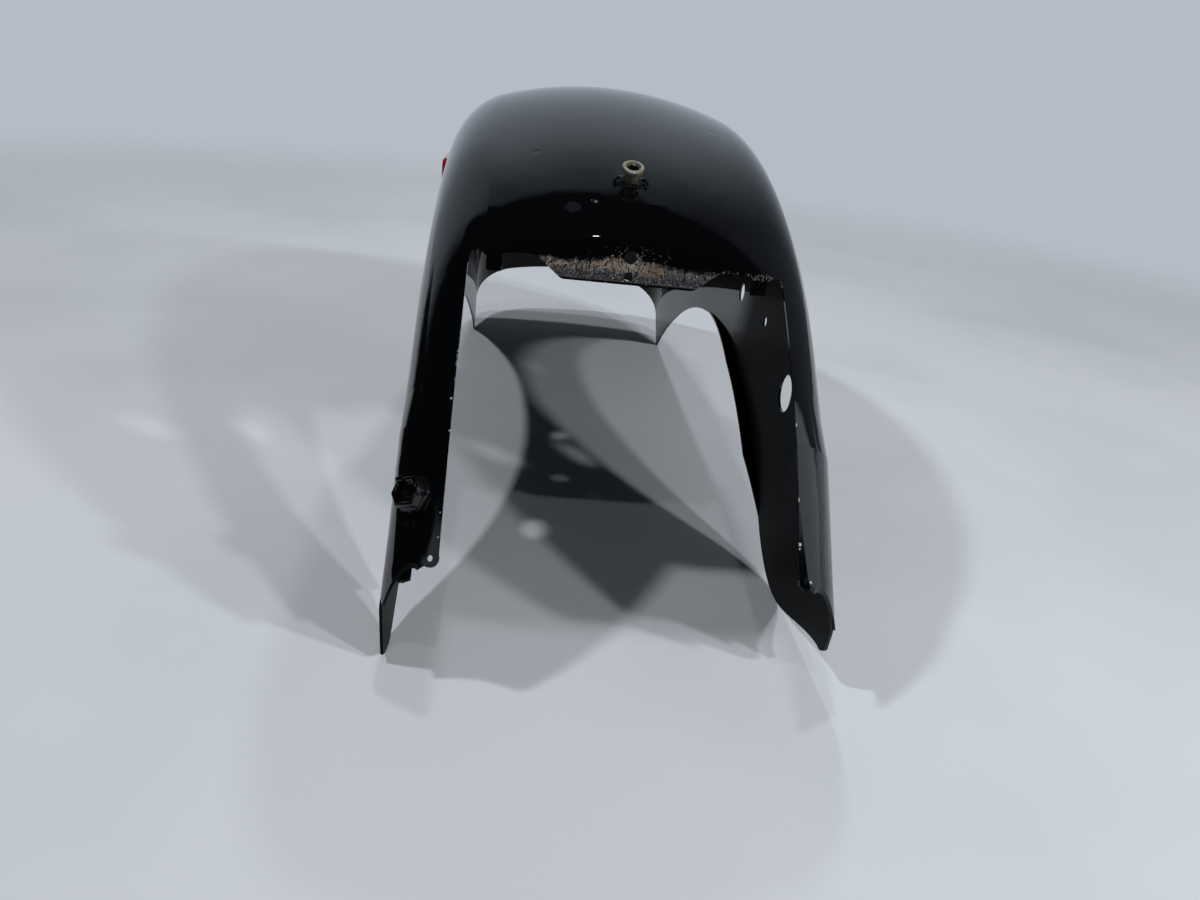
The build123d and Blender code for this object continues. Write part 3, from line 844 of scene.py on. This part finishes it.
def dome_light(f):
    """Light from each way: pale wall ahead, bright opening to the right, dark above."""
    x, y, up = f.parts(f.vector("NORMALIZE", f.place()))
    z = up.max(0.02)
    azimuth = x.turn_from(y)
    # The wall ends above in an edge that leans to one side and dips at its left end
    slant = (x / z).max(-1.0).min(1.0)
    over = y - z * (0.478 - 0.095 * slant + 0.2 * slant.step(-0.45, -1.0))
    wall = over.step(-0.012, 0.03) * z.step(0.92, 0.66).lift(0.36)
    wall = wall * azimuth.step(-58.0, -46.0) * azimuth.step(-34.0, -18.0).lift(0.64)
    wall = wall * azimuth.step(48.0, 12.0).lift(0.19) * azimuth.step(82.0, 70.0)
    wall = wall * (1.0 - azimuth.step(-38.0, -44.0) * z.step(0.14, 0.08))
    opening = azimuth.band(73.0, 82.0, 108.0, 116.0) * z.band(0.04, 0.10, 0.60, 0.70)
    low_right = azimuth.band(57.0, 67.0, 108.0, 116.0) * z.step(0.20, 0.14)
    behind = azimuth.band(-154.0, -146.0, -124.0, -116.0) * z.band(0.12, 0.18, 0.48, 0.56)
    light = (0.5 * wall).max(0.9 * opening).max(0.5 * low_right).max(0.48 * behind)
    return light.max(DOME_LEAST)


def dome():
    """Walls and ceiling that only the gloss of the paint mirrors."""
    f = Finish("room_dome")
    peak = tuple(DOME_PEAK * c for c in DOME_TINT) + (1.0,)
    material = f.close(f.glow(f.mix((0, 0, 0, 1), peak, dome_light(f) / DOME_PEAK)))
    points, faces = [], []
    for i in range(DOME_ROWS + 1):
        rise = math.radians(DOME_LOW + (90.0 - DOME_LOW) * i / DOME_ROWS)
        level, z = DOME_R * math.cos(rise), DOME_R * math.sin(rise)
        points += [(u, v, z) for u, v, _ in circle(level, z, DOME_COLUMNS)]
    for i in range(DOME_ROWS):
        for j in range(DOME_COLUMNS):
            k = (j + 1) % DOME_COLUMNS
            low, high = i * DOME_COLUMNS, (i + 1) * DOME_COLUMNS
            faces.append((low + j, low + k, high + k, high + j))
    only_for_gloss(new_mesh("room_dome", points, faces, material))


def dark_reflection_sheet(name, middle, heading, half_turn, near):
    """A dark sheet just above the floor that only mirror reflections see: a painted dark
    reflection.
    """
    f = Finish(name)
    x, y = f.parts(f.place())[:2]
    x, y = x - middle[0], y - middle[1]
    c, s = math.cos(math.radians(heading)), math.sin(math.radians(heading))
    off_heading = (c * x - s * y).turn_from(s * x + c * y).abs()
    share = off_heading.step(half_turn, half_turn - GROUND_FADE)
    clear = f.add("ShaderNodeBsdfTransparent")
    material = f.close(f.blend(clear, f.glow(DARK_REFLECTION_COLOUR), share))
    points, faces = [], []
    for level in (near, DOME_R):
        for j in range(GROUND_COLUMNS + 1):
            turn = math.radians(heading - half_turn + 2 * half_turn * j / GROUND_COLUMNS)
            x, y = middle[0] + level * math.sin(turn), middle[1] + level * math.cos(turn)
            points.append((x, y, GROUND_Z))
    for j in range(GROUND_COLUMNS):
        far = GROUND_COLUMNS + 1 + j
        faces.append((j + 1, j, far, far + 1))
    only_for_gloss(new_mesh(name, points, faces, material))


def only_for_gloss(thing):
    """A stage piece that nothing but mirror reflections sees."""
    thing.visible_camera = False
    thing.visible_diffuse = False
    thing.visible_shadow = False
    thing.visible_transmission = False
    thing.visible_volume_scatter = False


def world():
    """The pale room behind everything, which gives little light of its own."""
    room = bpy.data.worlds.new("pale_room")
    bpy.context.scene.world = room
    f = Finish("pale_room", room)
    seen = f.add("ShaderNodeLightPath", {}, {}, "Is Camera Ray")
    outs = seen.socket.node.outputs
    for other in ("Is Glossy Ray", "Is Transmission Ray"):
        seen = seen.max(Value(f, outs[other]))
    inputs = {"Color": ROOM_COLOUR, "Strength": seen.lift(ROOM_FILL)}
    f.close(f.add("ShaderNodeBackground", {}, inputs))


def lamp(name, place, size, watts, mirrored):
    """A round lamp that faces the part."""
    data = bpy.data.lights.new(name, "AREA")
    data.shape = "DISK"
    data.size = size
    data.energy = watts
    thing = bpy.data.objects.new(name, data)
    thing.location = place
    thing.rotation_euler = (-place).to_track_quat("-Z", "Y").to_euler()
    thing.visible_glossy = mirrored
    bpy.context.scene.collection.objects.link(thing)


def lamps():
    for name, turn, rise, size, watts in LAMPS:
        turn, rise = math.radians(turn), math.radians(rise)
        level = math.cos(rise)
        way = Vector((level * math.sin(turn), level * math.cos(turn), math.sin(rise)))
        lamp(name, way * LAMP_AWAY, size, watts, False)
    lamp("lamp_spark", SPARK_AT, SPARK_SIZE, SPARK_WATTS, True)


def camera():
    yaw, pitch, roll = (math.radians(a) for a in (EYE_YAW, EYE_PITCH, EYE_ROLL))
    level = math.cos(pitch)
    ahead = Vector((math.sin(yaw) * level, math.cos(yaw) * level, -math.sin(pitch)))
    right = Vector((math.cos(yaw), -math.sin(yaw), 0))
    up = right.cross(ahead)
    across = math.cos(roll) * right + math.sin(roll) * up
    above = math.cos(roll) * up - math.sin(roll) * right
    data = bpy.data.cameras.new("camera")
    data.lens = EYE_LENS
    data.sensor_width = EYE_SENSOR
    data.clip_start = EYE_NEAREST * MM
    eye = bpy.data.objects.new("camera", data)
    turn = Matrix((across, above, -ahead)).transposed()
    eye.matrix_world = Matrix.Translation(EYE * MM) @ turn.to_4x4()
    bpy.context.scene.collection.objects.link(eye)
    bpy.context.scene.camera = eye


def dress(node, material):
    """Give a CAD node its finish."""
    thing = frame["nodes"][node]
    thing.data.materials.clear()
    thing.data.materials.append(material)


camera()
world()
floor()
dome()
# Dark sheets seen only in the gloss, for painted dark reflections
for dark_sheet in DARK_REFLECTION_SHEETS:
    dark_reflection_sheet(*dark_sheet)
lamps()
dress("fender_shell", black_paint())
for lens in ("reflector_left", "reflector_right"):
    dress(lens, red_lens(lens))
seat_nut()
nut_retainer()
harness_clip()
bpy.context.scene.view_settings.view_transform = "Standard"
